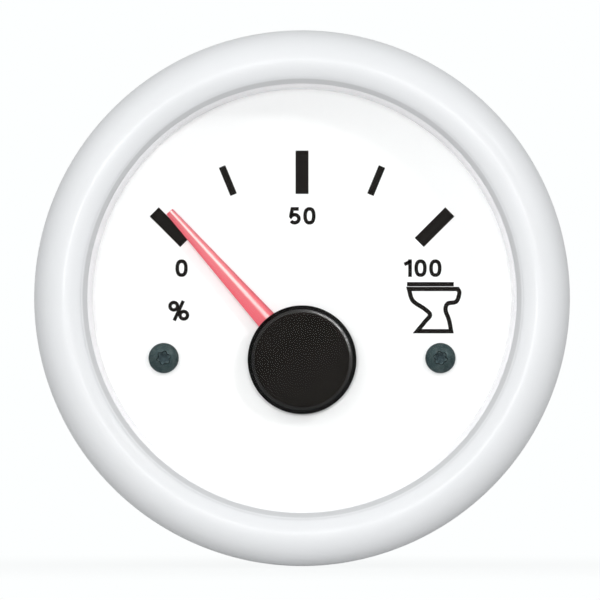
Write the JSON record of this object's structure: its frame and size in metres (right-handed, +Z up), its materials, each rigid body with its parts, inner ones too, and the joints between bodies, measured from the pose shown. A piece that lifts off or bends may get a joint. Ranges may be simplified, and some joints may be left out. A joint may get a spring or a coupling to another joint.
{
  "type": "holding tank level gauge",
  "caption": "Round white panel gauge with a red pointer over a tank level scale, an air-core movement, stud terminals and a rear clamp bracket with thumb nuts.",
  "frame": {"origin": "centre of the panel seat, in the plane of the gasket's rear face, on the barrel's axis", "axes": "+Y runs backwards along the barrel, away from the viewer of the dial; +Z is up on the dial; +X is to the viewer's right"},
  "size_m": [0.062, 0.0784, 0.062],
  "materials": {
    "bezel_white": "smooth white moulding, soft gloss",
    "lens_clear": "clear polished lens",
    "seal_rubber": "black rubber",
    "ring_white": "cool white moulding, satin",
    "dial_white": "white printed plate",
    "dial_ink": "black print",
    "screw_black": "blackened steel",
    "guide_clear": "clear moulded plate",
    "housing_black": "fine-grained black moulding",
    "bobbin_amber": "natural nylon",
    "winding_copper": "enamelled copper wire",
    "magnet_grey": "sintered magnet",
    "steel_bright": "bright plated steel",
    "zinc_plate": "zinc-plated steel",
    "brass_bare": "bare brass",
    "tinned_brass": "tinned brass",
    "board_green": "green solder mask",
    "chip_black": "moulded package",
    "can_aluminium": "bare aluminium can",
    "lamp_yellow": "lamp package",
    "pointer_red": "translucent red moulding",
    "cap_black": "fine-grained black moulding"
  },
  "bodies": {
    "case": {"bezel": "bezel_white", "lens": "lens_clear", "lens_seal": "seal_rubber", "inner_ring": "ring_white", "dial": "dial_white", "scale_marks": "dial_ink", "dial_screws": "screw_black", "light_guide": "guide_clear", "housing": "housing_black", "panel_gasket": "seal_rubber", "bobbin_front": "bobbin_amber", "bobbin_rear": "bobbin_amber", "inner_coil": "winding_copper", "outer_coil": "winding_copper", "movement_pins": "tinned_brass", "return_magnet": "magnet_grey", "shield_can": "steel_bright", "circuit_board": "board_green", "driver_chip": "chip_black", "resistors": "chip_black", "capacitors": "can_aluminium", "protection_diode": "chip_black", "backlight_leds": "lamp_yellow", "board_screws": "zinc_plate", "terminal_studs": "brass_bare", "terminal_washers": "zinc_plate", "terminal_nuts": "brass_bare", "lamp_terminal": "tinned_brass", "clamp_studs": "zinc_plate", "stud_washers": "zinc_plate", "stud_nuts": "zinc_plate"},
    "pointer_set": {"spindle": "steel_bright", "rotor_magnet": "magnet_grey", "pointer": "pointer_red", "pointer_cap": "cap_black"},
    "clamp": {"clamp_bracket": "steel_bright", "spring_washers": "zinc_plate"},
    "nut_left": {"thumb_nut_left": "brass_bare"},
    "nut_right": {"thumb_nut_right": "brass_bare"}
  },
  "joints": [
    {"name": "pointer_turn", "type": "hinge", "parent": "case", "child": "pointer_set", "pos_m": [0, 0, -0.00713], "axis": [0, 1, 0], "range_deg": [-3.2, 86.8]},
    {"name": "clamp_slide", "type": "slide", "parent": "case", "child": "clamp", "axis": [0, 1, 0], "range_m": [-0.007, 0.006]},
    {"name": "nut_left_turn", "type": "hinge", "parent": "clamp", "child": "nut_left", "pos_m": [-0.019, 0, 0], "axis": [0, 1, 0], "range_deg": [-3601, 3087]},
    {"name": "nut_right_turn", "type": "hinge", "parent": "clamp", "child": "nut_right", "pos_m": [0.019, 0, 0], "axis": [0, 1, 0], "range_deg": [-3601, 3087]}
  ],
  "couplings": [
    {"joint": "nut_left_turn", "follows": "clamp_slide", "rad_per_m": 8976},
    {"joint": "nut_right_turn", "follows": "clamp_slide", "rad_per_m": 8976}
  ]
}
